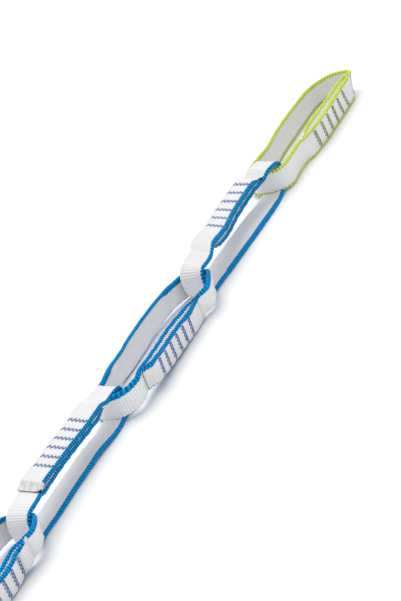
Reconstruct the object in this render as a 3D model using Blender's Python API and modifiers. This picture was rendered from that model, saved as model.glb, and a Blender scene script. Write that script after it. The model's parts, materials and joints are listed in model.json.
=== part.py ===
# Climbing daisy chain made of sewn webbing loops, each one passed through the loop before it.
# Every loop is one strip of narrow webbing whose two ends overlap and are held by bar tacks.
# Units are metres. The chain lies along X with its clip-in end at +X, and stands on Z = 0.
from math import atan2, cos, hypot, pi, radians, sin

import bmesh
import bpy
from mathutils import Matrix, Vector

# Webbing
WEB_WIDTH = 0.0130          # selvage to selvage
WEB_THICK = 0.0020
PLY_GAP = 0.0014            # air between the two plies of a seam

# Loops, from apex to apex along the middle of the webbing
END_LOOP_LENGTH = 0.1004    # clip-in loop at the free end
LINK_LENGTH = 0.1053
TIE_IN_LENGTH = 0.2000      # long loop that is hitched to the harness
LINK_COUNT = 5

# Eyes and the straps that turn in them
TURN_GAP = 0.0006           # air round a strap that turns in its neighbour's eye
CHAIN_SLACK = 0.0010        # further play along the chain where two straps cross
STAND_SLACK = 0.0030        # spare width each side of the neighbour's strap in a standing loop
STRAP_BOW = 0.0008          # how far the loose strand of a standing loop bows out at its middle

# Bends at the ends of a loop
BEND_LENGTH = 0.0100        # run over which a strand turns into the end of a standing loop
FLAT_BEND_LENGTH = 0.0075   # the same in a loop that lies flat
TIP_CURL_LENGTH = 0.0250    # long curl of the loose strand into the clip-in tip
TIP_HEEL_LENGTH = 0.0030    # short turn of the sewn strand at the clip-in tip
TIP_HEEL_DEPTH = 0.0040     # the clip-in tip lies this far inside the sewn strand
FLARE_DEPTH = 0.0055        # a standing link's single ply springs outwards beyond its seam
FLARE_RUN = 0.0120          # length over which it does so
FLARE_BEND_LENGTH = 0.0180  # wide turn from the flare into the end of the link
FLARE_APEX_SHIFT = 0.0030   # the end of the link leans this far towards the flare
BEND_SQUARENESS = 2.8       # 2 is an ellipse, more is squarer

# Sag of a standing loop between the straps that it crosses
SAG_START = 0.0150          # from the end of the loop to where its edge starts to drop
SAG_RUN = 0.0250            # length over which the edge comes down to the floor

# Seams
SEAM_LENGTH = 0.0620        # overlap of the two cut ends
PLY_STEP_RUN = 0.0060       # run over which a ply steps back to the middle beyond the seam
TACK_COUNT = 6
TACK_WIDTH = 0.0013         # along the webbing
TACK_MARGIN = 0.0014        # bare webbing from a tack's end to the selvage
THREAD_RISE = 0.0005        # thickness of the thread on the face of the webbing
THREAD_LEG = 0.0009         # thread bundle that passes through the plies
THREAD_ROUND = 0.0003       # chamfer on the outer corners of a tack
SEAT_GAP = 0.0003           # air between thread and webbing
CUT_OVERRUN = 0.0010        # how far a cutter runs past what it cuts

# Fineness of the mesh
ROW_TURN = radians(13)      # most that the webbing turns between two rows
ROW_LENGTH = 0.0100         # longest straight between two rows
BEND_STEPS = 24             # points worked out in each bend before the rows are chosen
STRAND_STEPS = 40

# Places of the seams, as shares of half the loop's length, towards +X
END_LOOP_SEAM_SHARE = 0.27
LINK_SEAM_SHARES = (0.06, -0.14, 0.0, 0.05, 0.03)
TIE_IN_SEAM_SHARE = 0.0

# Rows of bar tacks: how far the row's middle lies from the seam's middle towards +X, as a share of
# half the seam's length, and the row's span as a share of the seam's length
END_LOOP_ROW_SHARES = (-0.08, 0.655)
LINK_ROW_SHARES = ((0.10, 0.62), (0.08, 0.57), (0.07, 0.53), (0.04, 0.58), (0.0, 0.60))
TIE_IN_ROW_SHARES = (0.0, 0.60)

# Which way the inner ply heads from its cut end: 1 is towards +X
END_LOOP_HEADING = 1
LINK_HEADINGS = (1, -1, -1, 1, 1)
TIE_IN_HEADING = 1

# Finish
WEB_WHITE = (0.86, 0.87, 0.88, 1.0)
EDGE_BLUE = (0.01, 0.17, 0.36, 1.0)
EDGE_LIME = (0.42, 0.56, 0.05, 1.0)
THREAD_BLUE = (0.07, 0.10, 0.26, 1.0)
THREAD_GREEN = (0.13, 0.22, 0.12, 1.0)
CLOTH_ROUGHNESS = 0.85
THREAD_ROUGHNESS = 0.60

# Sizes that follow from the ones above
STRAP_CORNER = hypot(WEB_WIDTH, WEB_THICK) / 2
EYE_RADIUS = STRAP_CORNER + TURN_GAP                # clear radius round a strap that turns
STRAP_REACH = EYE_RADIUS + WEB_THICK / 2 + CHAIN_SLACK    # between the middles of crossed straps
PIVOT_HEIGHT = WEB_THICK + EYE_RADIUS
FLAT_HALF = EYE_RADIUS + WEB_THICK / 2              # half opening of a loop that lies flat
STAND_HALF = WEB_WIDTH / 2 + STAND_SLACK + WEB_THICK / 2
STRAP_LIFT = PIVOT_HEIGHT - WEB_WIDTH / 2           # a standing strap over its neighbour
PLY_OFFSET = (WEB_THICK + PLY_GAP) / 2
TACK_LENGTH = WEB_WIDTH - 2 * TACK_MARGIN
TACK_SEAT = WEB_THICK + PLY_GAP / 2 + SEAT_GAP      # from the seam's middle to the thread


class Loop:
    """One sewn loop. Positions along it are measured towards +X from its +X apex."""

    def __init__(self, name, stands, length, seam_share, row_shares, heading):
        self.name = name
        self.stands = stands
        self.length = length
        self.heading = heading
        self.seam_middle = length / 2 * (seam_share - 1)
        self.row_shift = heading * row_shares[0] * SEAM_LENGTH / 2
        self.row_span = row_shares[1] * SEAM_LENGTH
        self.half_opening = STAND_HALF if stands else FLAT_HALF
        self.bow = STRAP_BOW if stands else 0.0
        self.flare = 0.0
        # Bends as (length on the sewn strand, length on the loose strand, apex towards sewn strand)
        run = BEND_LENGTH if stands else FLAT_BEND_LENGTH
        self.right_bend = (run, run, 0.0)
        self.left_bend = (run, run, 0.0)
        self.crossed_right = True
        self.crossed_left = True


def smooth(value):
    """Ease from 0 to 1 as the value goes from 0 to 1."""
    value = min(max(value, 0.0), 1.0)
    return value * value * (3 - 2 * value)


def bend(start, end, steps):
    """Squared quarter ellipse from a strand at start to the apex at end, without its first point."""
    power = 2 / BEND_SQUARENESS
    points = []
    for step in range(1, steps + 1):
        angle = pi / 2 * step / steps
        along = start[0] + (end[0] - start[0]) * sin(angle) ** power
        across = end[1] + (start[1] - end[1]) * max(cos(angle), 0.0) ** power
        points.append(Vector((along, across)))
    return points


def outline(loop):
    """Closed middle line of a loop, as (along, across) with the sewn strand at positive across.

    It starts on the sewn strand and heads the way the inner ply does, so along is mirrored for
    a loop whose inner ply heads towards -X.
    """
    ahead, behind = (loop.right_bend, loop.left_bend)
    front, back = 0.0, -loop.length
    if loop.heading < 0:
        ahead, behind = behind, ahead
        front, back = loop.length, 0.0
    half = loop.half_opening

    def sewn_across(along):
        flare_end = -loop.right_bend[0]
        return half + loop.flare * smooth((along * loop.heading - flare_end) / FLARE_RUN + 1)

    def loose_across(along):
        share = 2 * (along - back) / loop.length - 1
        return -half - loop.bow * (1 - share * share)

    points = []
    first, last = back + behind[0], front - ahead[0]
    for step in range(STRAND_STEPS + 1):
        along = first + (last - first) * step / STRAND_STEPS
        points.append(Vector((along, sewn_across(along))))
    apex = Vector((front, ahead[2]))
    points += bend(points[-1], apex, BEND_STEPS)
    turn_in = Vector((front - ahead[1], loose_across(front - ahead[1])))
    points += list(reversed(bend(turn_in, apex, BEND_STEPS)))[1:] + [turn_in]
    first, last = front - ahead[1], back + behind[1]
    for step in range(1, STRAND_STEPS + 1):
        along = first + (last - first) * step / STRAND_STEPS
        points.append(Vector((along, loose_across(along))))
    apex = Vector((back, behind[2]))
    points += bend(points[-1], apex, BEND_STEPS)
    points += list(reversed(bend(points[0], apex, BEND_STEPS)))[1:]
    return points


class Track:
    """Arc length along a closed outline, which a strip follows for more than one lap."""

    def __init__(self, points):
        self.points = points
        self.arcs = [0.0]
        for here, there in zip(points, points[1:] + points[:1]):
            self.arcs.append(self.arcs[-1] + (there - here).length)
        self.lap = self.arcs[-1]

    def arc_at(self, along):
        """Arc at a place on the sewn strand, where the outline starts."""
        for index in range(STRAND_STEPS):
            here, there = self.points[index], self.points[index + 1]
            if here.x <= along <= there.x:
                share = (along - here.x) / (there.x - here.x)
                return self.arcs[index] + share * (there - here).length
        return self.arcs[STRAND_STEPS] if along > self.points[0].x else 0.0

    def at(self, arc):
        """Point and outward normal at an arc."""
        arc %= self.lap
        low, high = 0, len(self.arcs) - 1
        while high - low > 1:
            middle = (low + high) // 2
            if self.arcs[middle] <= arc:
                low = middle
            else:
                high = middle
        here, there = self.points[low], self.points[(low + 1) % len(self.points)]
        share = (arc - self.arcs[low]) / (self.arcs[low + 1] - self.arcs[low])
        heading = (there - here).normalized()
        return here.lerp(there, share), Vector((-heading.y, heading.x))


def seam_span(loop, track):
    """Arcs of the two cut ends: the inner ply starts at the first, the outer ends at the second."""
    middle = track.arc_at(loop.seam_middle * loop.heading)
    return middle - SEAM_LENGTH / 2, middle + SEAM_LENGTH / 2


def ply_shift(arc, start, end, lap):
    """How far the webbing lies outside the outline: inside it as inner ply, outside as outer ply."""
    leaving = smooth((arc - end) / PLY_STEP_RUN)
    joining = smooth((arc - (lap + start) + PLY_STEP_RUN) / PLY_STEP_RUN)
    return PLY_OFFSET * (leaving - 1 + joining)


def strip_rows(loop, track):
    """Places along the whole strip where it has a row of vertices, as (along, across)."""
    start, end = seam_span(loop, track)
    total = track.lap + end - start
    fine = [start + total * step / (len(track.points) * 2) for step in range(len(track.points) * 2 + 1)]
    path = []
    for arc in fine:
        point, normal = track.at(arc)
        path.append(point + normal * ply_shift(arc, start, end, track.lap))
    rows = [path[0]]
    travelled, turned = 0.0, 0.0
    for before, here, after in zip(path, path[1:], path[2:]):
        inward, outward = here - before, after - here
        travelled += inward.length
        turned += abs(inward.angle_signed(outward, 0.0))
        if turned > ROW_TURN or travelled > ROW_LENGTH:
            rows.append(here)
            travelled, turned = 0.0, 0.0
    rows.append(path[-1])
    return rows


def sag(loop, along):
    """Drop of a standing loop's edge towards the floor, away from the straps that it crosses."""
    if not loop.stands:
        return 0.0
    from_right = -along if loop.crossed_right else SAG_START + SAG_RUN
    from_left = along + loop.length if loop.crossed_left else SAG_START + SAG_RUN
    return STRAP_LIFT * smooth((min(from_right, from_left) - SAG_START) / SAG_RUN)


def to_loop_space(loop, point):
    """Outline coordinates to the loop's own space, whose origin is on its +X pivot."""
    along = point.x * loop.heading
    if loop.stands:
        return Vector((along, -point.y, -sag(loop, along)))
    return Vector((along, 0.0, point.y))


def width_axis(loop):
    return Vector((0, 0, 1)) if loop.stands else Vector((0, 1, 0))


def make_material(name, colour, roughness):
    material = bpy.data.materials.new(name)
    material.use_nodes = True
    shader = material.node_tree.nodes["Principled BSDF"]
    shader.inputs["Base Color"].default_value = colour
    shader.inputs["Roughness"].default_value = roughness
    shader.inputs["Metallic"].default_value = 0.0
    material.diffuse_color = colour
    return material


def make_webbing(loop, track, pivot, parts, face, edge):
    """The loop's strip: its middle line drawn out to the width, then thickened."""
    shape = bmesh.new()
    across = width_axis(loop)
    side = across * (-WEB_WIDTH / 2)
    line = [shape.verts.new(to_loop_space(loop, row) + side) for row in strip_rows(loop, track)]
    edges = [shape.edges.new(pair) for pair in zip(line, line[1:])]
    drawn = bmesh.ops.extrude_edge_only(shape, edges=edges)
    moved = [item for item in drawn["geom"] if isinstance(item, bmesh.types.BMVert)]
    bmesh.ops.translate(shape, verts=moved, vec=across * WEB_WIDTH)
    mesh = bpy.data.meshes.new(loop.name + "_webbing")
    shape.to_mesh(mesh)
    shape.free()
    mesh.materials.append(face)
    mesh.materials.append(edge)
    webbing = bpy.data.objects.new(loop.name + "_webbing", mesh)
    webbing.parent = pivot
    parts.objects.link(webbing)
    wall = webbing.modifiers.new("Thickness", "SOLIDIFY")
    wall.thickness = WEB_THICK
    wall.offset = 0.0
    wall.use_even_offset = True
    wall.material_offset_rim = 1
    return webbing


def tack_frame(loop, track, index):
    """Matrix of a tack: X across the webbing, Y outwards through both plies, Z along the strip."""
    start, end = seam_span(loop, track)
    arc = (start + end) / 2 + loop.row_shift + loop.row_span * (index / (TACK_COUNT - 1) - 1 / 2)
    point, normal = track.at(arc)
    outwards = to_loop_space(loop, point + normal) - to_loop_space(loop, point)
    outwards = Vector((outwards.x, outwards.y, 0 if loop.stands else outwards.z)).normalized()
    across = width_axis(loop)
    along = across.cross(outwards)
    turned = Matrix((across, outwards, along)).transposed().to_4x4()
    return Matrix.Translation(to_loop_space(loop, point)) @ turned


def make_tack(name, frame, pivot, parts, thread):
    """A bar tack: thread on both faces, joined by a leg through the plies at each end."""
    half, rise = TACK_LENGTH / 2, TACK_SEAT + THREAD_RISE
    cut = THREAD_ROUND
    outer = [(half - cut, -rise), (half, cut - rise), (half, rise - cut), (half - cut, rise)]
    outer += [(cut - half, rise), (-half, rise - cut), (-half, cut - rise), (cut - half, -rise)]
    window_half = half - THREAD_LEG
    inner = [(-window_half, -TACK_SEAT), (-window_half, TACK_SEAT)]
    inner += [(window_half, TACK_SEAT), (window_half, -TACK_SEAT)]
    curve = bpy.data.curves.new(name, "CURVE")
    curve.dimensions = "2D"
    curve.fill_mode = "BOTH"
    curve.extrude = TACK_WIDTH / 2
    for ring in (outer, inner):
        spline = curve.splines.new("POLY")
        spline.points.add(len(ring) - 1)
        for corner, (x, y) in zip(spline.points, ring):
            corner.co = (x, y, 0, 1)
        spline.use_cyclic_u = True
    curve.materials.append(thread)
    tack = bpy.data.objects.new(name, curve)
    tack.parent = pivot
    tack.matrix_basis = frame
    parts.objects.link(tack)
    return tack


def cut_needle_holes(loop, webbing, frames, pivot, cutters):
    """Clearance holes for the legs of every tack, through both plies."""
    shape = bmesh.new()
    leg_middle = (TACK_LENGTH - THREAD_LEG) / 2
    size = (THREAD_LEG + 2 * SEAT_GAP, 2 * (TACK_SEAT + CUT_OVERRUN), TACK_WIDTH + 2 * SEAT_GAP)
    for frame in frames:
        for side in (-1, 1):
            place = frame @ Matrix.Translation((side * leg_middle, 0, 0)) @ Matrix.Diagonal((*size, 1))
            bmesh.ops.create_cube(shape, size=1, matrix=place)
    mesh = bpy.data.meshes.new(loop.name + "_needle_holes")
    shape.to_mesh(mesh)
    shape.free()
    cutter = bpy.data.objects.new(mesh.name, mesh)
    cutter.parent = pivot
    cutter.hide_render = True
    cutter.display_type = "WIRE"
    cutters.objects.link(cutter)
    cut = webbing.modifiers.new("Needle holes", "BOOLEAN")
    cut.operation = "DIFFERENCE"
    cut.object = cutter


def make_loop(loop, pivot, parts, cutters, face, edge, thread):
    track = Track(outline(loop))
    webbing = make_webbing(loop, track, pivot, parts, face, edge)
    frames = [tack_frame(loop, track, index) for index in range(TACK_COUNT)]
    cut_needle_holes(loop, webbing, frames, pivot, cutters)
    for index, frame in enumerate(frames):
        make_tack(f"{loop.name}_tack_{index + 1}", frame, pivot, parts, thread)


def chain_loops():
    """The loops from the clip-in end to the harness end. Every second one lies flat."""
    end_loop = Loop(
        "end_loop", True, END_LOOP_LENGTH, END_LOOP_SEAM_SHARE, END_LOOP_ROW_SHARES, END_LOOP_HEADING
    )
    end_loop.crossed_right = False
    end_loop.right_bend = (TIP_HEEL_LENGTH, TIP_CURL_LENGTH, STAND_HALF - TIP_HEEL_DEPTH)
    loops = [end_loop]
    for number in range(1, LINK_COUNT + 1):
        stands = number % 2 == 0
        place = (number - 1) % len(LINK_SEAM_SHARES)
        seam_share, row_shares = LINK_SEAM_SHARES[place], LINK_ROW_SHARES[place]
        link = Loop(f"link_{number}", stands, LINK_LENGTH, seam_share, row_shares, LINK_HEADINGS[place])
        if stands:
            link.flare = FLARE_DEPTH
            link.right_bend = (FLARE_BEND_LENGTH, BEND_LENGTH, FLARE_APEX_SHIFT)
        loops.append(link)
    stands = not loops[-1].stands
    tie_in = Loop(
        "tie_in_loop", stands, TIE_IN_LENGTH, TIE_IN_SEAM_SHARE, TIE_IN_ROW_SHARES, TIE_IN_HEADING
    )
    tie_in.crossed_left = False
    loops.append(tie_in)
    return loops


def settle_on_origin(root, parts):
    """Move the whole chain so that the origin is under the middle of its box, on the floor."""
    bpy.context.view_layer.update()
    depsgraph = bpy.context.evaluated_depsgraph_get()
    places = []
    for part in parts.objects:
        finished = part.evaluated_get(depsgraph)
        places += [part.matrix_world @ vertex.co for vertex in finished.to_mesh().vertices]
        finished.to_mesh_clear()
    low = Vector([min(place[axis] for place in places) for axis in range(3)])
    high = Vector([max(place[axis] for place in places) for axis in range(3)])
    root.location -= Vector(((low.x + high.x) / 2, (low.y + high.y) / 2, low.z))
    bpy.context.view_layer.update()
    print("size", [round(value, 5) for value in high - low])


def main():
    for item in list(bpy.data.objects):
        bpy.data.objects.remove(item, do_unlink=True)
    parts = bpy.data.collections.new("daisy_chain")
    cutters = bpy.data.collections.new("cutters")
    pivots = bpy.data.collections.new("pivots")
    for collection in (parts, cutters, pivots):
        bpy.context.scene.collection.children.link(collection)
    face = make_material("webbing_face", WEB_WHITE, CLOTH_ROUGHNESS)
    blue_edge = make_material("blue_selvage", EDGE_BLUE, CLOTH_ROUGHNESS)
    lime_edge = make_material("lime_selvage", EDGE_LIME, CLOTH_ROUGHNESS)
    blue_thread = make_material("blue_thread", THREAD_BLUE, THREAD_ROUGHNESS)
    green_thread = make_material("green_thread", THREAD_GREEN, THREAD_ROUGHNESS)

    loops = chain_loops()
    parent = None
    placed = []
    for before, loop in zip([None] + loops, loops):
        pivot = bpy.data.objects.new(loop.name + "_pivot", None)
        pivot.parent = parent
        pivot.location = (0, 0, PIVOT_HEIGHT)
        if before:
            pivot.location = (STRAP_REACH - before.length, 0, 0)
        pivots.objects.link(pivot)
        first = before is None
        edge, thread = (lime_edge, green_thread) if first else (blue_edge, blue_thread)
        make_loop(loop, pivot, parts, cutters, face, edge, thread)
        placed.append((loop, pivot))
        parent = pivot
    settle_on_origin(placed[0][1], parts)
    for loop, pivot in placed[1:]:
        place = [round(value, 6) for value in pivot.matrix_world.translation]
        print(loop.name, "turns about", "Y" if loop.stands else "Z", "at", place)


main()
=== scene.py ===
import json
import math
import random

import bmesh
import bpy
from mathutils import Matrix, Vector, noise


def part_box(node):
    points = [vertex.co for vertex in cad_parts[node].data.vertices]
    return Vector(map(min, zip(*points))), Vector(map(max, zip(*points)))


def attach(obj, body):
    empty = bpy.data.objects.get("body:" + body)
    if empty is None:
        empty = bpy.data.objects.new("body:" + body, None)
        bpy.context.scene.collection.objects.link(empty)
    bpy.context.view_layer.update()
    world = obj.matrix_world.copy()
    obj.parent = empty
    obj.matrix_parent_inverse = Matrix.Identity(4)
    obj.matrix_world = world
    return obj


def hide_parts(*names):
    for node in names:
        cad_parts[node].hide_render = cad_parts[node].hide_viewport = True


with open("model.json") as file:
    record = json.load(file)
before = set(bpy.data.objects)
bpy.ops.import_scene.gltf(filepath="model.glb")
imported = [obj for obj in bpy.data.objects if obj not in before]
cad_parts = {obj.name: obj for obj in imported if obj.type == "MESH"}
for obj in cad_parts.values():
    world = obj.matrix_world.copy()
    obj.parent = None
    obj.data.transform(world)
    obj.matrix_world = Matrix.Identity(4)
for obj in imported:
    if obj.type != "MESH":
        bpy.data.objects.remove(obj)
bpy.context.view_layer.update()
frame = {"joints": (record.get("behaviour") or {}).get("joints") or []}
print("frame loaded")

mm = 0.001

# one strip of webbing, shared by every loop
webbing = {
    "width": 13.0 * mm,
    "thickness": 2.0 * mm,
    "bodyThickness": 1.72 * mm,     # the white body is a little thinner than the edges
    "seamLength": 62.0 * mm,
    "plyGap": 1.4 * mm,
    "plyStep": 6.0 * mm,            # run over which a ply steps back beyond the seam
    "squareness": 2.8,              # of the turns; 2 is an ellipse
    "flareRun": 12.0 * mm,          # run over which a standing loop springs out beside its seam
    "sagStart": 15.0 * mm,          # from the end of a standing loop to where it starts to sag
    "sagRun": 25.0 * mm,
    "sagDrop": 2.676 * mm,
    "strandSteps": 40,              # points along a strand, and round a quarter turn
    "turnSteps": 24,
    "step": 0.26 * mm,              # distance between two rows of the mesh
}

# the loops, from the clip-in end
# length runs from apex to apex, half is half the opening and bow how far the loose strand bows out
# rightBend and leftBend are the runs of the sewn and of the loose strand into a turn, and how far the
# turn's apex lies towards the sewn strand, in mm; crossedRight and crossedLeft say where a neighbour is
# seamShare is how far the seam lies from the middle towards the right end, as a share of half the
# length, and heading is the way that the strip runs from it
# bars are the shift of the row of bar tacks and its length, as shares of half and of all the seam
# head and tail are how far the inner and the outer end run past the seam, in mm
# ends are the cut inner and outer end: length of the bare zone in mm, how grey it is, and how far
# its coloured edge is lost
# wrap is how far the edge colour reaches in on the sewn strand, on the loose strand and in the
# turns, in mm, and farWrap the same for the far or lower edge
# ridges is the height of the folds in the turns, in mm
# gape is the extra room between the plies at both ends of the upper edge, then of the lower edge
# out, side and lean say how a loop lies, at 16 even places round its lap, from its right end along
# the sewn strand: the shift outwards and across the strip in mm, and the lean in degrees
standing = {
    "stands": True, "edge": "blue", "length": 105.3 * mm, "half": 10.5 * mm, "bow": 0.8 * mm, "flare": 5.5 * mm,
    "rightBend": (18.0, 10.0, 3.0), "leftBend": (10.0, 10.0, 0.0), "crossedRight": True, "crossedLeft": True,
    "head": 0.0, "tail": 0.0, "ends": ((0.5, 0.3, 0.0), (2.0, 0.5, 1.0)),
    "wrap": (1.5, 1.1, 2.3), "farWrap": 0.6, "ridges": 0.05,
}
lying = {
    "stands": False, "edge": "blue", "length": 105.3 * mm, "half": 8.176 * mm, "bow": 0.0, "flare": 0.0,
    "rightBend": (7.5, 7.5, 0.0), "leftBend": (7.5, 7.5, 0.0), "crossedRight": True, "crossedLeft": True,
    "head": 0.0, "tail": 0.0, "ends": ((0.5, 0.3, 0.0), (1.0, 0.5, 1.0)),
    "wrap": (1.4, 1.6, 1.3), "farWrap": 0.1, "ridges": 0.26,
}
loops = [
    dict(standing, name="end_loop", edge="lime", length=100.4 * mm, flare=0.0, seamShare=0.27, heading=1,
         bars=(-0.09, 0.655), rightBend=(3.0, 25.0, 6.5), leftBend=(10.0, 10.0, 0.0), crossedRight=False,
         tail=3.0, wrap=(1.3, 1.1, 1.6), farWrap=1.4, ends=((5.0, 0.0, 1.0), (1.0, 0.3, 1.0)),
         gape=(3.8, 0.7, 0.5, 0.5),
         out=(0.4, 0.8, 1.2, 1.5, 1.4, 0.6, 0.7, 1.4, 2.2, -1.2, -1.9, -0.7, -0.4, -0.3, -0.2, -0.1),
         side=(0.1, 0.1, 0.1, 0.2, 0.1, -0.6, -2.0, -2.1, -1.3, -0.8, -1.1, 0.1, 0.4, 0.4, 0.3, 0.1),
         lean=(-18, 2, 3, 3, 4, 3, -2, 8, 16, 10, 1, -4, -5, -2, 2, 6)),
    dict(lying, name="link_1", seamShare=0.06, heading=1, bars=(0.07, 0.64), head=4.0,
         wrap=(2.3, 2.4, 1.7), gape=(-0.4, 0.0, 0.0, 0.0),
         out=(-3.5, -0.4, -1.3, -1.4, -1.4, -0.8, 0.3, 0.0, 1.8, -0.5, -1.4, -1.3, -1.3, -1.1, -0.3, -0.4),
         side=(-3.6, -3.0, 0.9, 1.2, 0.7, -1.7, -2.3, -4.1, -4.0, -3.6, -4.5, -4.8, -5.2, -5.3, -5.1, -3.5),
         lean=(-3, -9, -8, -9, -11, -14, -16, -19, -14, 5, 14, 15, 15, 12, 6, 0)),
    dict(standing, name="link_2", seamShare=-0.14, heading=-1, bars=(-0.02, 0.57), wrap=(1.7, 1.2, 2.7),
         ends=((0.5, 0.3, 0.0), (10.0, 0.12, 0.0)), gape=(2.4, 1.4, -0.2, 0.2),
         out=(-4.6, -2.8, 2.1, 2.7, 2.7, 3.4, 4.8, 4.8, 3.0, -1.1, -1.2, -0.7, -0.4, -0.2, -2.0, -5.4),
         side=(-2.8, -0.5, -0.6, -0.1, 0.6, 1.0, 0.7, 0.5, -2.0, -2.0, -0.8, 0.1, 0.6, 0.7, -0.8, -1.6),
         lean=(-4, -9, -9, -5, -1, -1, -5, -3, 14, 18, 6, -3, -3, 3, 6, 4)),
    dict(lying, name="link_3", seamShare=0.0, heading=-1, bars=(0.02, 0.575), wrap=(1.5, 2.0, 1.4), tail=5.0,
         ends=((0.5, 0.3, 0.0), (6.0, 1.0, 1.0)), gape=(0.0, -0.4, -0.5, -0.9),
         out=(-3.8, -2.7, -2.3, -1.9, -1.1, -0.5, 0.6, 0.5, 0.4, 0.0, -0.1, -0.2, -0.2, -0.7, 0.0, -0.6),
         side=(-1.2, -0.4, -0.1, -0.1, -0.2, -0.8, -1.9, -4.3, -4.0, -2.3, -2.3, -1.8, -1.8, -2.2, -3.2, -1.9),
         lean=(-4, -7, -11, -12, -11, -10, -13, -7, -6, 1, 1, 0, -1, -2, 0, -2)),
    dict(standing, name="link_4", seamShare=0.05, heading=1, bars=(0.04, 0.58), gape=(0.8, 0.6, 0.0, 0.1),
         out=(-4.8, -2.3, 0.8, 1.4, 1.4, 1.5, 2.0, 2.0, 1.3, 0.4, -0.4, -0.5, -0.3, 0.2, -0.3, -2.4),
         side=(-0.3, 0.6, 0.6, 0.1, 0.0, 0.1, 0.4, 0.3, -0.4, -0.5, -0.4, 0.0, 0.1, 0.1, 0.5, 0.0),
         lean=(-3, -10, -8, -5, -2, -2, -4, -2, 8, 9, 4, -2, -2, -1, 0, 5)),
    dict(lying, name="link_5", seamShare=0.03, heading=1, bars=(0.0, 0.60), gape=(-0.2, 0.2, 0.1, -0.2),
         out=(-1.2, -1.6, -1.4, -0.9, -0.6, -0.8, 0.2, 0.3, 0.3, -0.1, -0.7, -0.9, -0.6, -0.4, -0.8, -1.0),
         side=(-0.9, -0.2, 0.5, 0.6, 0.3, -0.2, -0.8, -1.9, -2.0, -1.6, -2.0, -2.6, -2.9, -2.5, -2.2, -1.5),
         lean=(-3, -7, -9, -8, -7, -8, -12, -10, -6, 2, 6, 7, 5, 3, 3, 0)),
    dict(standing, name="tie_in_loop", length=200.0 * mm, flare=0.0, seamShare=0.0, heading=1, bars=(0.0, 0.60),
         rightBend=(10.0, 10.0, 0.0), crossedLeft=False, gape=(0.8, 1.4, 0.1, 0.2),
         out=(-0.8, -0.6, 0.5, 1.2, 1.4, 0.8, 0.1, -0.3, -0.4, -0.3, 0.4, 1.1, 1.3, 0.7, -0.1, -0.6),
         side=(0.5, 0.4, 0.1, 0.0, 0.2, 0.3, 0.1, 0.1, 0.2, 0.1, 0.1, 0.3, 0.4, 0.2, 0.1, 0.2),
         lean=(4, 1, -4, -3, 1, 4, 2, -2, 3, 5, 2, -3, -5, -2, 2, 5)),
]


def ease(value):
    value = min(max(value, 0.0), 1.0)
    return value * value * (3 - 2 * value)


def turn(start, apex):
    # squared quarter ellipse from the end of a strand to the loop's apex
    power = 2 / webbing["squareness"]
    points = []
    for step in range(1, webbing["turnSteps"] + 1):
        angle = math.pi / 2 * step / webbing["turnSteps"]
        points.append(Vector((start.x + (apex.x - start.x) * math.sin(angle) ** power,
                              apex.y + (start.y - apex.y) * max(math.cos(angle), 0.0) ** power)))
    return points


def middleLine(loop):
    # closed line of the webbing in the loop's own plane: x along, y across, sewn strand at +y
    length, half, heading = loop["length"], loop["half"], loop["heading"]
    ahead, behind = loop["rightBend"], loop["leftBend"]
    front, back = 0.0, -length
    if heading < 0:
        ahead, behind = behind, ahead
        front, back = length, 0.0
    ahead, behind = [[value * mm for value in bend] for bend in (ahead, behind)]
    flareEnd = -loop["rightBend"][0] * mm

    def sewn(along):
        return half + loop["flare"] * ease((along * heading - flareEnd) / webbing["flareRun"] + 1)

    def loose(along):
        share = 2 * (along - back) / length - 1
        return -half - loop["bow"] * (1 - share * share)

    def strand(first, last, across):
        steps = webbing["strandSteps"]
        places = [first + (last - first) * step / steps for step in range(steps + 1)]
        return [Vector((along, across(along))) for along in places]

    points = strand(back + behind[0], front - ahead[0], sewn)
    returning = strand(front - ahead[1], back + behind[1], loose)
    apex = Vector((front, ahead[2]))
    points += turn(points[-1], apex) + turn(returning[0], apex)[-2::-1] + returning
    apex = Vector((back, behind[2]))
    points += turn(points[-1], apex) + turn(points[0], apex)[-2::-1]
    return points


# how the webbing strays from that line, and what its turns, its seam and its cut ends do to it
drape = {
    "wander": 0.14 * mm,            # how far the strip strays from its line
    "twist": 1.3,                   # and how far it tips, in degrees
    "strays": {"shift": (9.0 * mm, 1.5), "tip": (14.0 * mm, 4.5),   # run of each kind of stray, and
               "bead": (2.2 * mm, 3.0), "fold": (6.0 * mm, 7.5)},   # its own row of the noise
    "seedStep": 90,                 # sets the loops' noise apart
    "bendReach": 18.0 * mm,         # a turn is felt this far each way
    "bendAngle": 0.9,               # and is full from this many radians
    "wrapChange": 2.2,              # how suddenly the edge colour changes between the strands
    "gapeRun": 0.25,                # share of the seam over which the plies spread at each end
    "taper": 7.0 * mm,              # length over which a cut end is pressed onto the other ply
    "pressed": 0.7,                 # from middle to middle of two pressed plies, in thicknesses
}


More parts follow.
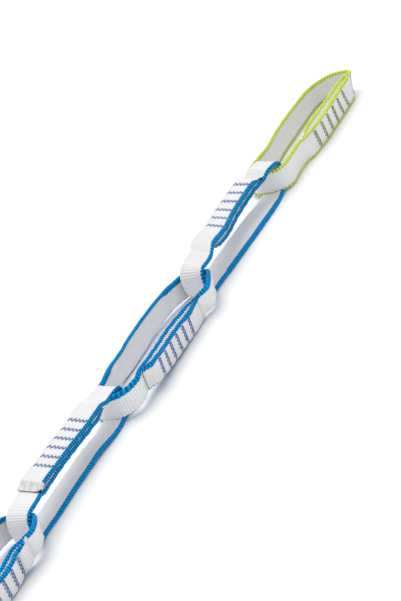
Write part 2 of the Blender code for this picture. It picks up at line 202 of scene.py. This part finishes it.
class Path:
    # arc length along the closed line, and the place in the row frame at any arc
    def __init__(self, loop):
        self.loop = loop
        self.points = middleLine(loop)
        self.arcs = [0.0]
        for here, there in zip(self.points, self.points[1:] + self.points[:1]):
            self.arcs.append(self.arcs[-1] + (there - here).length)
        self.lap = self.arcs[-1]
        seam = webbing["seamLength"]
        self.middle = self.arcAt(loop["length"] / 2 * (loop["seamShare"] - 1) * loop["heading"])
        self.start = self.middle - seam / 2 - loop["head"] * mm
        self.end = self.middle + seam / 2
        self.total = self.lap + self.end - self.start + loop["tail"] * mm
        right = max(range(len(self.points)), key=lambda index: self.points[index].x * loop["heading"])
        self.rightEnd = self.arcs[right]
        shift, span = loop["bars"]
        barMiddle = self.middle + loop["heading"] * shift * seam / 2
        self.bars = [barMiddle + (index / (stitching["count"] - 1) - 0.5) * span * seam
                     for index in range(stitching["count"])]
        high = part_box(loop["name"] + "_webbing")[1]
        joint = frame["joints"][0]["pos_m"]
        self.apex = Vector((high.x - webbing["thickness"] / 2, joint[1], joint[2]))
        self.seed = high.x * drape["seedStep"]

    def arcAt(self, along):
        for index in range(webbing["strandSteps"]):
            here, there = self.points[index], self.points[index + 1]
            if here.x <= along <= there.x:
                share = (along - here.x) / (there.x - here.x)
                return self.arcs[index] + share * (there - here).length
        return 0.0

    def flat(self, arc):
        # point and heading in the loop's own plane
        arc %= self.lap
        low, high = 0, len(self.arcs) - 1
        while high - low > 1:
            middle = (low + high) // 2
            if self.arcs[middle] <= arc:
                low = middle
            else:
                high = middle
        here, there = self.points[low], self.points[(low + 1) % len(self.points)]
        share = (arc - self.arcs[low]) / (self.arcs[low + 1] - self.arcs[low])
        return here.lerp(there, share), (there - here).normalized()

    def bend(self, arc):
        # 0 on a straight strand, 1 in a turn
        reach = drape["bendReach"]
        return ease(self.flat(arc - reach)[1].angle(self.flat(arc + reach)[1]) / drape["bendAngle"])

    def lapShare(self, arc):
        return (self.rightEnd - arc) * self.loop["heading"] / self.lap % 1.0

    def table(self, key, arc):
        # smooth closed curve through one of the loop's tables
        values = self.loop[key]
        place = self.lapShare(arc) * len(values)
        index = int(place)
        part = place - index
        before, here, there, after = [values[(index + step) % len(values)] for step in (-1, 0, 1, 2)]
        cubic = 3 * (here - there) + after - before
        square = 2 * before - 5 * here + 4 * there - after
        return here + 0.5 * part * (there - before + part * (square + part * cubic))

    def wrap(self, arc):
        sewn, loose, turned = self.loop["wrap"]
        share = ease(0.5 + drape["wrapChange"] * math.sin(2 * math.pi * self.lapShare(arc)))
        straight = loose + (sewn - loose) * share
        return (straight + (turned - straight) * self.bend(arc)) * mm

    def plyShift(self, arc):
        offset = (webbing["thickness"] + webbing["plyGap"]) / 2
        leaving = ease((arc - self.end) / webbing["plyStep"])
        joining = ease((arc - self.lap - self.start + webbing["plyStep"]) / webbing["plyStep"])
        return offset * (leaving - 1 + joining)

    def gape(self, arc):
        # extra shift of a ply at its upper and at its lower edge
        ply = 1 if arc >= self.lap + self.start else -1 if arc <= self.end else 0
        within = arc - (self.lap if ply > 0 else 0)
        share = min(max((within - self.start) / webbing["seamLength"], 0), 1)
        room = min(1, min(share, 1 - share) / drape["gapeRun"]) * mm / 2
        pull = sum(math.exp(-((within - bar) / stitching["pullReach"]) ** 2) for bar in self.bars)
        between = abs(self.plyShift(arc) - self.plyShift(arc - ply * self.lap))
        between -= drape["pressed"] * webbing["thickness"]
        press = ply * (pull * stitching["pull"] + self.taper(arc) * between)
        startHigh, endHigh, startLow, endLow = self.loop["gape"]
        return [ply * room * (first + (last - first) * share) - press
                for first, last in ((startHigh, endHigh), (startLow, endLow))]

    def taper(self, arc):
        # 1 at a cut end, 0 further in
        return ease(1 - min(arc - self.start, self.start + self.total - arc) / drape["taper"])

    def sag(self, along):
        far = webbing["sagStart"] + webbing["sagRun"]
        fromRight = -along if self.loop["crossedRight"] else far
        fromLeft = along + self.loop["length"] if self.loop["crossedLeft"] else far
        return webbing["sagDrop"] * ease((min(fromRight, fromLeft) - webbing["sagStart"]) / webbing["sagRun"])

    def stray(self, kind, arc, sign=1):
        run, row = drape["strays"][kind]
        return noise.noise(Vector((arc / run, self.seed, sign * row)))

    def place(self, arc):
        # centre of the strip, its outward side, its width direction, and the gape at both edges
        loop = self.loop
        point, heading = self.flat(arc)
        normal = Vector((-heading.y, heading.x))
        point = point + normal * self.plyShift(arc)
        along = point.x * loop["heading"]
        outward = Vector((normal.x * loop["heading"], normal.y))
        if loop["stands"]:
            centre = self.apex + Vector((along, -point.y, -self.sag(along)))
            outward, across = Vector((outward.x, -outward.y, 0)), Vector((0, 0, 1))
        else:
            centre = self.apex + Vector((along, 0, point.y))
            outward, across = Vector((outward.x, 0, outward.y)), Vector((0, 1, 0))
        centre += outward * (self.table("out", arc) * mm + drape["wander"] * self.stray("shift", arc))
        centre += across * self.table("side", arc) * mm
        lean = math.radians(self.table("lean", arc) + drape["twist"] * self.stray("tip", arc))
        leaned = outward * math.cos(lean) + across * math.sin(lean)
        across = across * math.cos(lean) - outward * math.sin(lean)
        return centre, leaned, across, self.gape(arc)


def onStrip(place, side, lift):
    centre, outward, across, (high, low) = place
    share = side / webbing["width"] + 0.5
    return centre + across * side + outward * (lift + low + (high - low) * share)


def newPiece(name, mesh, material, body, nodes):
    piece = bpy.data.objects.new(name, mesh)
    bpy.context.scene.collection.objects.link(piece)
    for polygon in mesh.polygons:
        polygon.use_smooth = True
    mesh.materials.append(material)
    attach(piece, body)
    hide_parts(*nodes)
    return piece


# surface of the webbing
relief = {
    "faceShares": (0.0, 0.35, 0.7, 0.9),    # points of a face, from its middle to the coloured edge
    "edgeBead": 1.2 * mm,           # radius of the coloured edge
    "beadPoints": 8,
    "beadTurn": 78,                 # they go round this many degrees each way
    "beadPitch": 1.7 * mm,          # knuckles along the edge
    "beadDepth": 0.11,              # how much a knuckle swells, as a share of the bead
    "beadWave": 0.6,                # how much of that is regular, and how much strays
    "beadStray": 1.3,
    "beadPhase": 1.3,               # sets the knuckles of the two edges apart
    "ribPitch": 1.0 * mm,           # fine ribs all along
    "foldPitch": 2.4 * mm,          # folds across the turns
    "foldStray": 0.8,
    "foldPower": 0.6,               # under 1 the folds are round with sharp grooves
    "foldMiddle": 0.8,              # height that counts as unfolded
    "foldFade": 2.5 * mm,           # they fade out this near the edges
    "gapEdge": 5.7 * mm,            # further in than this the plies touch
    "gapFade": 0.9 * mm,            # run over which they meet, across the strip and along it
    "gapRun": 5.0 * mm,
    "gapLeft": 0.04 * mm,
    "gapWrap": 1.0 * mm,            # how far the colour reaches in between two plies
    "cutThinning": 0.75,            # share of the thickness that is lost at a cut end
    "bareFade": 0.8 * mm,           # run over which the bare zone at a cut end begins
    "bareMargin": 2.0,              # in mm; so much more of the strip knows of the bare zone
    "crumple": 0.6 * mm,            # height of the crumples in it, and their runs along and across
    "crumpleRuns": (2.4 * mm, 3.5 * mm),
    "crumpleLoss": 0.6,             # share of them that goes where the coloured edge is lost
    # painted shade: darkened corner of a lying loop's outer cut end, its size along and across, and how it
    # fades
    "paintedShadeCorner": (2.8 * mm, 2.2 * mm),     # dark corner of a lying loop's outer end
    "paintedShadeFade": (2.2, 2.0),
    "frayPitch": 0.9 * mm,          # fray of the cut ends, and its depth and reach in rows
    "frayDepth": 3,
    "frayReach": 14,
    "weld": 0.0001 * mm,
}
halfWidth = webbing["width"] / 2
beadMiddle = halfWidth - relief["edgeBead"]


def stripProfile():
    # cross-section of the webbing from the middle of its outer face, as (across, outward)
    flat, bead, turned = webbing["bodyThickness"] / 2, relief["edgeBead"], relief["beadTurn"]
    side = [(beadMiddle * share, flat) for share in relief["faceShares"]]
    lower = [(across, -outward) for across, outward in reversed(side)]
    for step in range(relief["beadPoints"]):
        angle = math.radians(turned - 2 * turned * step / (relief["beadPoints"] - 1))
        side.append((beadMiddle + bead * math.cos(angle), bead * math.sin(angle)))
    right = side + lower
    left = [(-across, outward) for across, outward in reversed(right[1:-1])]
    return right + left


def measureRow(path, arc):
    # what all points of one row share
    return {
        "arc": arc, "place": path.place(arc), "bend": path.bend(arc), "wrap": path.wrap(arc),
        "thickness": 1 - relief["cutThinning"] * path.taper(arc),
        "gapSide": 1 if arc <= path.end else -1 if arc >= path.lap + path.start else 0,
        "room": abs(path.plyShift(arc)) - webbing["bodyThickness"] / 2,
        "inset": webbing["seamLength"] / 2 - abs(arc % path.lap - path.middle % path.lap),
    }


def swellEdge(path, arc, side, lift):
    sign = 1 if side > 0 else -1
    wave = math.sin(2 * math.pi * arc / relief["beadPitch"] + sign * relief["beadPhase"]
                    + lift / relief["edgeBead"])
    uneven = relief["beadWave"] * wave + relief["beadStray"] * path.stray("bead", arc, sign)
    swell = 1 + relief["beadDepth"] * uneven
    return sign * beadMiddle + (side - sign * beadMiddle) * swell, lift * swell


def foldHeight(path, row, side):
    fold = row["arc"] / relief["foldPitch"] + relief["foldStray"] * path.stray("fold", row["arc"])
    height = abs(math.sin(math.pi * fold)) ** relief["foldPower"] - relief["foldMiddle"]
    fade = ease((halfWidth - abs(side)) / relief["foldFade"])
    return height * (path.loop["ridges"] * mm * row["bend"] * fade)


def gapFill(row, side):
    # how far the inner face of a ply comes out to meet the other ply
    high, low = row["place"][3]
    room = row["room"] - row["gapSide"] * (low + (high - low) * (side / webbing["width"] + 0.5))
    fade = ease((relief["gapEdge"] - abs(side)) / relief["gapFade"]) * ease(row["inset"] / relief["gapRun"])
    return row["gapSide"] * max(room - relief["gapLeft"], 0.0) * fade


def makeWebbing(path):
    loop = path.loop
    profile = stripProfile()
    count = len(profile)
    last = int(path.total / webbing["step"])
    rows = [measureRow(path, path.start + path.total * index / last) for index in range(last + 1)]
    mesh = bpy.data.meshes.new(loop["name"] + "_strip")
    bm = bmesh.new()
    weave = bm.loops.layers.uv.new("weave")
    marks = {key: bm.verts.layers.float.new(key) for key in ("selvage", "bare", "grey", "lost", "paintedCornerShade")}
    bmesh.ops.create_grid(bm, x_segments=last, y_segments=count, size=0.5)
    spots = {vertex: (round((vertex.co.x + 0.5) * last), round((vertex.co.y + 0.5) * count) % count)
             for vertex in bm.verts}
    for face in bm.faces:
        for corner in face.loops:
            index, column = spots[corner.vert]
            corner[weave].uv = (path.total * index / last, profile[column][0])
    mainSide = 1 if loop["stands"] else -1      # the edge towards the camera
    for vertex, (index, column) in spots.items():
        row = rows[index]
        arc = row["arc"]
        side, lift = profile[column]
        if abs(side) > beadMiddle:
            side, lift = swellEdge(path, arc, side, lift)
        lift = (lift + math.copysign(foldHeight(path, row, side), lift)) * row["thickness"]
        if row["gapSide"] * lift > 0:
            lift += gapFill(row, side)
        for end, (length, grey, lost) in zip((arc - rows[0]["arc"], rows[-1]["arc"] - arc), loop["ends"]):
            if end < (length + relief["bareMargin"]) * mm:
                bare = ease((length * mm - end) / relief["bareFade"] + 0.5)
                runAlong, runAcross = relief["crumpleRuns"]
                crumple = noise.noise(Vector((arc / runAlong, side / runAcross, path.seed)))
                lift += bare * (1 - lost * relief["crumpleLoss"]) * relief["crumple"] * crumple
                vertex[marks["bare"]] = bare
                vertex[marks["grey"]] = grey
                vertex[marks["lost"]] = lost
        if not loop["stands"]:
            # painted shade on the near corner of a lying loop's outer cut end
            cornerAlong, cornerAcross = relief["paintedShadeCorner"]
            away = math.hypot((rows[-1]["arc"] - arc) / cornerAlong, (halfWidth + side) / cornerAcross)
            dark, fading = relief["paintedShadeFade"]
            vertex[marks["paintedCornerShade"]] = ease(dark - fading * away)
        wrap = row["wrap"] if side * mainSide > 0 else loop["farWrap"] * mm
        if row["gapSide"] * lift > 0:
            wrap = min(wrap, relief["gapWrap"])
        vertex[marks["selvage"]] = halfWidth - wrap
        ragged = noise.noise(Vector((side / relief["frayPitch"], path.seed, 2.5)))
        reach = ease(1 - min(index, last - index) / relief["frayReach"])
        frayed = index + round(relief["frayDepth"] * ragged * reach)
        vertex.co = onStrip(rows[min(max(frayed, 0), last)]["place"], side, lift)
    bmesh.ops.remove_doubles(bm, verts=bm.verts[:], dist=relief["weld"])
    rims = [edge for edge in bm.edges if edge.is_boundary]
    bmesh.ops.holes_fill(bm, edges=rims, sides=0)
    bmesh.ops.recalc_face_normals(bm, faces=bm.faces[:])
    bm.to_mesh(mesh)
    bm.free()
    return mesh


# one bar tack: a zigzag of thread across the webbing, with one straight thread on standing loops
stitching = {
    "count": 6,
    "thread": 0.28 * mm,            # radius
    "reach": 5.1 * mm,              # half the length of a bar
    "spread": {"blue": 1.3 * mm, "lime": 1.4 * mm},     # half its width
    "drop": 0.6 * mm,               # on a standing strand it sits this far below the middle
    "pull": 0.3 * mm,               # how far it pulls each ply in
    "pullReach": 1.7 * mm,
    "zigzags": 5,
    "crowding": 1.15,               # over 1 the stitches close up towards one end
    "jitter": (0.12, 0.08),         # of each stitch along and across the webbing, in mm
    "dip": -0.14 * mm,              # lift of the thread where it goes in, and in between
    "rise": 0.1 * mm,
    "between": ((0.55, 0.4), (-0.45, 1.5)),     # points in between: share of the spread, steps on
    "straightAlong": 0.8,           # place of the straight thread, as a share of the spread
    "straightSteps": 16,
    "straightJitter": 0.1,          # in mm
    "straightDip": -0.2 * mm,       # lift at its two ends, and elsewhere
    "straightRise": 0.02 * mm,
}


def threadRows(loop, rng):
    # the lines of thread in one bar, as (along, across, lift)
    reach, spread = stitching["reach"], stitching["spread"][loop["edge"]]
    jitterAlong, jitterAcross = stitching["jitter"]
    steps = stitching["zigzags"] * 2
    zigzag = []
    for step in range(steps + 1):
        across = reach * (1 - 2 * (1 - step / steps) ** stitching["crowding"])
        along = spread * (1 if step % 2 else -1)
        zigzag.append((along + rng.uniform(-jitterAlong, jitterAlong) * mm,
                       across + rng.uniform(-jitterAcross, jitterAcross) * mm, stitching["dip"]))
        zigzag += [(along * share, across + reach / steps * onward, stitching["rise"])
                   for share, onward in stitching["between"]]
    rows = [zigzag[:-len(stitching["between"])]]
    if loop["stands"]:
        jitter, steps = stitching["straightJitter"], stitching["straightSteps"]
        rows.append([(stitching["straightAlong"] * spread + rng.uniform(-jitter, jitter) * mm,
                      reach * (step / (steps / 2) - 1),
                      stitching["straightRise" if step % steps else "straightDip"])
                     for step in range(steps + 1)])
    return rows


def makeTack(path, index):
    loop = path.loop
    rows = threadRows(loop, random.Random(f"{loop['name']} {index}"))
    curve = bpy.data.curves.new(f"{loop['name']}_bar_{index + 1}", "CURVE")
    curve.dimensions = "3D"
    curve.bevel_depth = stitching["thread"]
    curve.bevel_resolution = 1
    curve.use_fill_caps = True
    face = webbing["bodyThickness"] / 2
    for ply in (1, -1):
        arc = path.bars[index] + (path.lap if ply > 0 else 0)
        for row in rows:
            spline = curve.splines.new("POLY")
            spline.points.add(len(row) - 1)
            for point, (along, across, lift) in zip(spline.points, row):
                across = across - stitching["drop"] if loop["stands"] else -across
                point.co = (*onStrip(path.place(arc + along * loop["heading"]), across, ply * (face + lift)), 1)
    holder = bpy.data.objects.new(curve.name, curve)
    bpy.context.scene.collection.objects.link(holder)
    bpy.context.view_layer.update()
    mesh = bpy.data.meshes.new_from_object(holder.evaluated_get(bpy.context.evaluated_depsgraph_get()))
    bpy.data.objects.remove(holder)
    bpy.data.curves.remove(curve)
    mesh.materials.clear()
    return mesh


class Wire:
    # a socket that takes part in Python arithmetic and adds its Math nodes
    def __init__(self, tree, socket):
        self.tree = tree
        self.socket = socket

    def combine(self, operation, first, second=None):
        node = self.tree.nodes.new("ShaderNodeMath")
        node.operation = operation
        for slot, value in zip(node.inputs, (first, second)):
            if isinstance(value, Wire):
                self.tree.links.new(value.socket, slot)
            elif value is not None:
                slot.default_value = value
        return Wire(self.tree, node.outputs[0])

    def __add__(self, other):
        return self.combine("ADD", self, other)

    def __sub__(self, other):
        return self.combine("SUBTRACT", self, other)

    def __rsub__(self, other):
        return self.combine("SUBTRACT", other, self)

    def __mul__(self, other):
        return self.combine("MULTIPLY", self, other)

    def __abs__(self):
        return self.combine("ABSOLUTE", self)

    def sine(self):
        return self.combine("SINE", self)


class Recipe:
    # one material, its nodes added by name
    def __init__(self, name):
        self.material = bpy.data.materials.new(name)
        self.material.use_nodes = True
        self.tree = self.material.node_tree
        self.tree.nodes.clear()
        output = self.tree.nodes.new("ShaderNodeOutputMaterial")
        self.shader = self.tree.nodes.new("ShaderNodeBsdfPrincipled")
        self.tree.links.new(self.shader.outputs[0], output.inputs["Surface"])

    def add(self, kind, settings=None, values=None, out=0):
        node = self.tree.nodes.new(kind)
        for key, value in (settings or {}).items():
            setattr(node, key, value)
        for key, value in (values or {}).items():
            self.feed(node.inputs[key], value)
        return Wire(self.tree, node.outputs[out])

    def feed(self, slot, value):
        if isinstance(value, Wire):
            self.tree.links.new(value.socket, slot)
        else:
            slot.default_value = value

    def set(self, **values):
        for key, value in values.items():
            self.feed(self.shader.inputs[key.replace("_", " ")], value)

    def noise(self, place, scale, detail=2.0):
        return self.add("ShaderNodeTexNoise", None, {"Vector": place, "Scale": scale, "Detail": detail})

    def span(self, value, low, high):
        # 0 to 1 as the value goes from low to high
        return self.add("ShaderNodeMapRange", {"interpolation_type": "SMOOTHSTEP"},
                        {"Value": value, "From Min": low, "From Max": high})

    def blend(self, share, first, second):
        # the Mix node's colour sockets are its inputs 6 and 7 and its output 2
        node = self.tree.nodes.new("ShaderNodeMix")
        node.data_type = "RGBA"
        for slot, value in ((node.inputs[0], share), (node.inputs[6], first), (node.inputs[7], second)):
            if isinstance(value, tuple):
                value = (*value, 1)
            self.feed(slot, value)
        return Wire(self.tree, node.outputs[2])


# look of the woven strip; noise scales are per metre
weaving = {
    "white": ((0.88, 0.88, 0.89), (0.93, 0.93, 0.93)),      # cloudy, from one to the other
    # painted shade in the grooves between the ribs, darker than the white
    "paintedGrooveShade": (0.81, 0.81, 0.84),                           # between two ribs
    "tired": ((0.62, 0.63, 0.60), (0.82, 0.82, 0.80)),      # bare, worn weave at a cut end
    # colour of the painted shade at the corner of a lying loop's outer end
    "paintedCornerShade": (0.008, 0.020, 0.110),
    "drift": 260.0,                 # unevenness of ribs, knuckles and borders
    "clouds": 34.0,
    "lines": (150.0, 1500.0, 1.0),  # lengthwise threads of the worn weave
    "borderWobble": 0.2 * mm,       # the edge colour's border strays this far
    "borderPitch": 0.98,            # as a share of the knuckles' pitch
    "border": (-0.08 * mm, 0.12 * mm),
    "pickSlant": 700,               # slant of the knuckles across the edge
    # where the painted groove shade gives way to the white, along the rib wave
    "paintedGrooveSpan": (-1.0, 0.2),
    "bump": 0.18 * mm,
    "bumpStrength": 0.9,
    "edgeBump": 2.0,                # height of the knuckles against the ribs
    "subsurface": 0.3,
    "scatter": 1.5 * mm,
}


def webbingMaterial(name, edgePaintedHighlight, edgePaintedShade):
    recipe = Recipe(name)
    uv = recipe.add("ShaderNodeUVMap", {"uv_map": "weave"})
    along = recipe.add("ShaderNodeSeparateXYZ", None, {"Vector": uv})
    across = Wire(recipe.tree, along.socket.node.outputs[1])
    place = recipe.add("ShaderNodeTexCoord", None, None, "Object")
    selvage, bare, grey, lost, paintedCornerShade = [
        recipe.add("ShaderNodeAttribute", {"attribute_name": key}, None, "Fac")
        for key in ("selvage", "bare", "grey", "lost", "paintedCornerShade")]
    drift = recipe.noise(place, weaving["drift"])
    turns = along * (2 * math.pi / relief["beadPitch"])
    knuckle = (turns + across * weaving["pickSlant"] + drift * 2.0).sine()
    wobble = (turns * weaving["borderPitch"] + drift * 6.0).sine() * weaving["borderWobble"]
    edge = recipe.span(abs(across) - selvage + wobble, *weaving["border"])
    rib = (along * (2 * math.pi / relief["ribPitch"]) + drift * 2.5).sine()
    stretched = recipe.add("ShaderNodeMapping", None, {"Vector": uv, "Scale": weaving["lines"]})
    lines = recipe.noise(stretched, 1.0)
    clouds = recipe.noise(place, weaving["clouds"], 4.0)
    white = recipe.blend(clouds, *weaving["white"])
    # painted shade in the grooves between the ribs
    white = recipe.blend(recipe.span(rib, *weaving["paintedGrooveSpan"]), weaving["paintedGrooveShade"], white)
    # edge colour with painted light: painted highlight on the top of each knuckle and painted shade between the
    # knuckles
    colour = recipe.blend(recipe.span(knuckle + drift, -0.5, 1.2), edgePaintedShade, edgePaintedHighlight)
    tired = recipe.blend(recipe.span(lines, 0.35, 0.62), *weaving["tired"])
    body = recipe.blend(bare * grey, white, tired)
    base = recipe.blend(edge * (1 - bare * lost), body, colour)
    # painted shade darkens the near corner of a lying loop's outer end
    recipe.set(Base_Color=recipe.blend(paintedCornerShade, base, weaving["paintedCornerShade"]), Roughness=0.8, Sheen_Weight=0.02,
               Specular_IOR_Level=0.06, Subsurface_Weight=weaving["subsurface"],
               Subsurface_Scale=weaving["scatter"], Subsurface_Radius=(1.0, 1.0, 1.0))
    picks = recipe.span(knuckle, -1.0, 1.0) * weaving["edgeBump"]
    height = recipe.blend(edge, recipe.span(rib, -1.0, 1.0), picks)
    recipe.set(Normal=recipe.add("ShaderNodeBump", None, {
        "Strength": weaving["bumpStrength"], "Distance": weaving["bump"], "Height": height}))
    return recipe.material


def threadMaterial(name, light, dark):
    recipe = Recipe(name)
    place = recipe.add("ShaderNodeTexCoord", None, None, "Object")
    fleck = recipe.span(recipe.noise(place, 1500.0), 0.38, 0.62)
    recipe.set(Base_Color=recipe.blend(fleck, dark, light), Roughness=0.55, Sheen_Weight=0.05)
    return recipe.material


# webbing and thread by the colour of the edge: the webbing's edge from a tone with painted highlight for the
# tops of its knuckles and a tone with painted shade for between them, the thread from a light and a dark tone
# of its flecks
colours = {
    "blue": {
        "webbing": webbingMaterial("blueEdgedWebbing", (0.001, 0.350, 0.740), (0.001, 0.120, 0.360)),
        "thread": threadMaterial("blueThread", (0.240, 0.350, 0.600), (0.060, 0.110, 0.340)),
    },
    "lime": {
        "webbing": webbingMaterial("limeEdgedWebbing", (0.740, 0.840, 0.130), (0.420, 0.530, 0.050)),
        "thread": threadMaterial("greenThread", (0.380, 0.480, 0.230), (0.170, 0.270, 0.130)),
    },
}

for loop in loops:
    path = Path(loop)
    name = loop["name"]
    colour = colours[loop["edge"]]
    strip = newPiece(name + "_strip", makeWebbing(path), colour["webbing"], name, [name + "_webbing"])
    for index in range(stitching["count"]):
        bar = newPiece(f"{name}_bar_{index + 1}", makeTack(path, index), colour["thread"],
                       name, [f"{name}_tack_{index + 1}"])
    print(name, "made")

table = {"size": 6.0, "drop": 0.05 * mm, "colour": (0.97, 0.97, 0.97), "roughness": 0.9}
bm = bmesh.new()
bmesh.ops.create_grid(bm, x_segments=1, y_segments=1, size=table["size"] / 2)
bmesh.ops.translate(bm, verts=bm.verts[:], vec=(0, 0, -table["drop"]))
tableMesh = bpy.data.meshes.new("table")
bm.to_mesh(tableMesh)
bm.free()
tableTop = bpy.data.objects.new("table", tableMesh)
bpy.context.scene.collection.objects.link(tableTop)
tableRecipe = Recipe("whiteTable")
tableRecipe.set(Base_Color=(*table["colour"], 1), Roughness=table["roughness"], Specular_IOR_Level=0.0)
tableMesh.materials.append(tableRecipe.material)
print("table made")

light = {"sky": 0.68, "sun": 1.5, "softness": 45.0, "azimuth": 42.0, "elevation": 68.0}
world = bpy.data.worlds.new("studio")
bpy.context.scene.world = world
world.use_nodes = True
background = world.node_tree.nodes["Background"]
background.inputs["Color"].default_value = (1, 1, 1, 1)
background.inputs["Strength"].default_value = light["sky"]
sun = bpy.data.lights.new("softbox", "SUN")
sun.energy = light["sun"]
sun.angle = math.radians(light["softness"])
sunHolder = bpy.data.objects.new("softbox", sun)
bpy.context.scene.collection.objects.link(sunHolder)
azimuth, elevation = math.radians(light["azimuth"]), math.radians(light["elevation"])
towards = Vector((math.cos(azimuth) * math.cos(elevation), math.sin(azimuth) * math.cos(elevation),
                  math.sin(elevation)))
sunHolder.rotation_euler = towards.to_track_quat("Z", "Y").to_euler()

# focal length and frame height are in pixels of the photograph
view = {"azimuth": -50.70, "elevation": 26.36, "roll": -26.85, "distance": 1265.7 * mm,
        "target": (187.33 * mm, -0.025 * mm, 0.0), "focal": 2482.53, "frame": 601, "sensor": 36.0, "far": 20.0}
azimuth, elevation, roll = [math.radians(view[key]) for key in ("azimuth", "elevation", "roll")]
back = Vector((math.sin(azimuth) * math.cos(elevation), -math.cos(azimuth) * math.cos(elevation),
               math.sin(elevation)))
right = Vector((math.cos(azimuth), math.sin(azimuth), 0.0))
up = back.cross(right)
rolledRight = right * math.cos(roll) + up * math.sin(roll)
rolledUp = up * math.cos(roll) - right * math.sin(roll)
camera = bpy.data.cameras.new("camera")
camera.sensor_width = view["sensor"]
camera.lens = view["focal"] * view["sensor"] / view["frame"]
camera.clip_end = view["far"]
cameraHolder = bpy.data.objects.new("camera", camera)
bpy.context.scene.collection.objects.link(cameraHolder)
turned = Matrix((rolledRight, rolledUp, back)).transposed().to_4x4()
cameraHolder.matrix_world = Matrix.Translation(Vector(view["target"]) + back * view["distance"]) @ turned
bpy.context.scene.camera = cameraHolder
bpy.context.scene.view_settings.view_transform = "Standard"
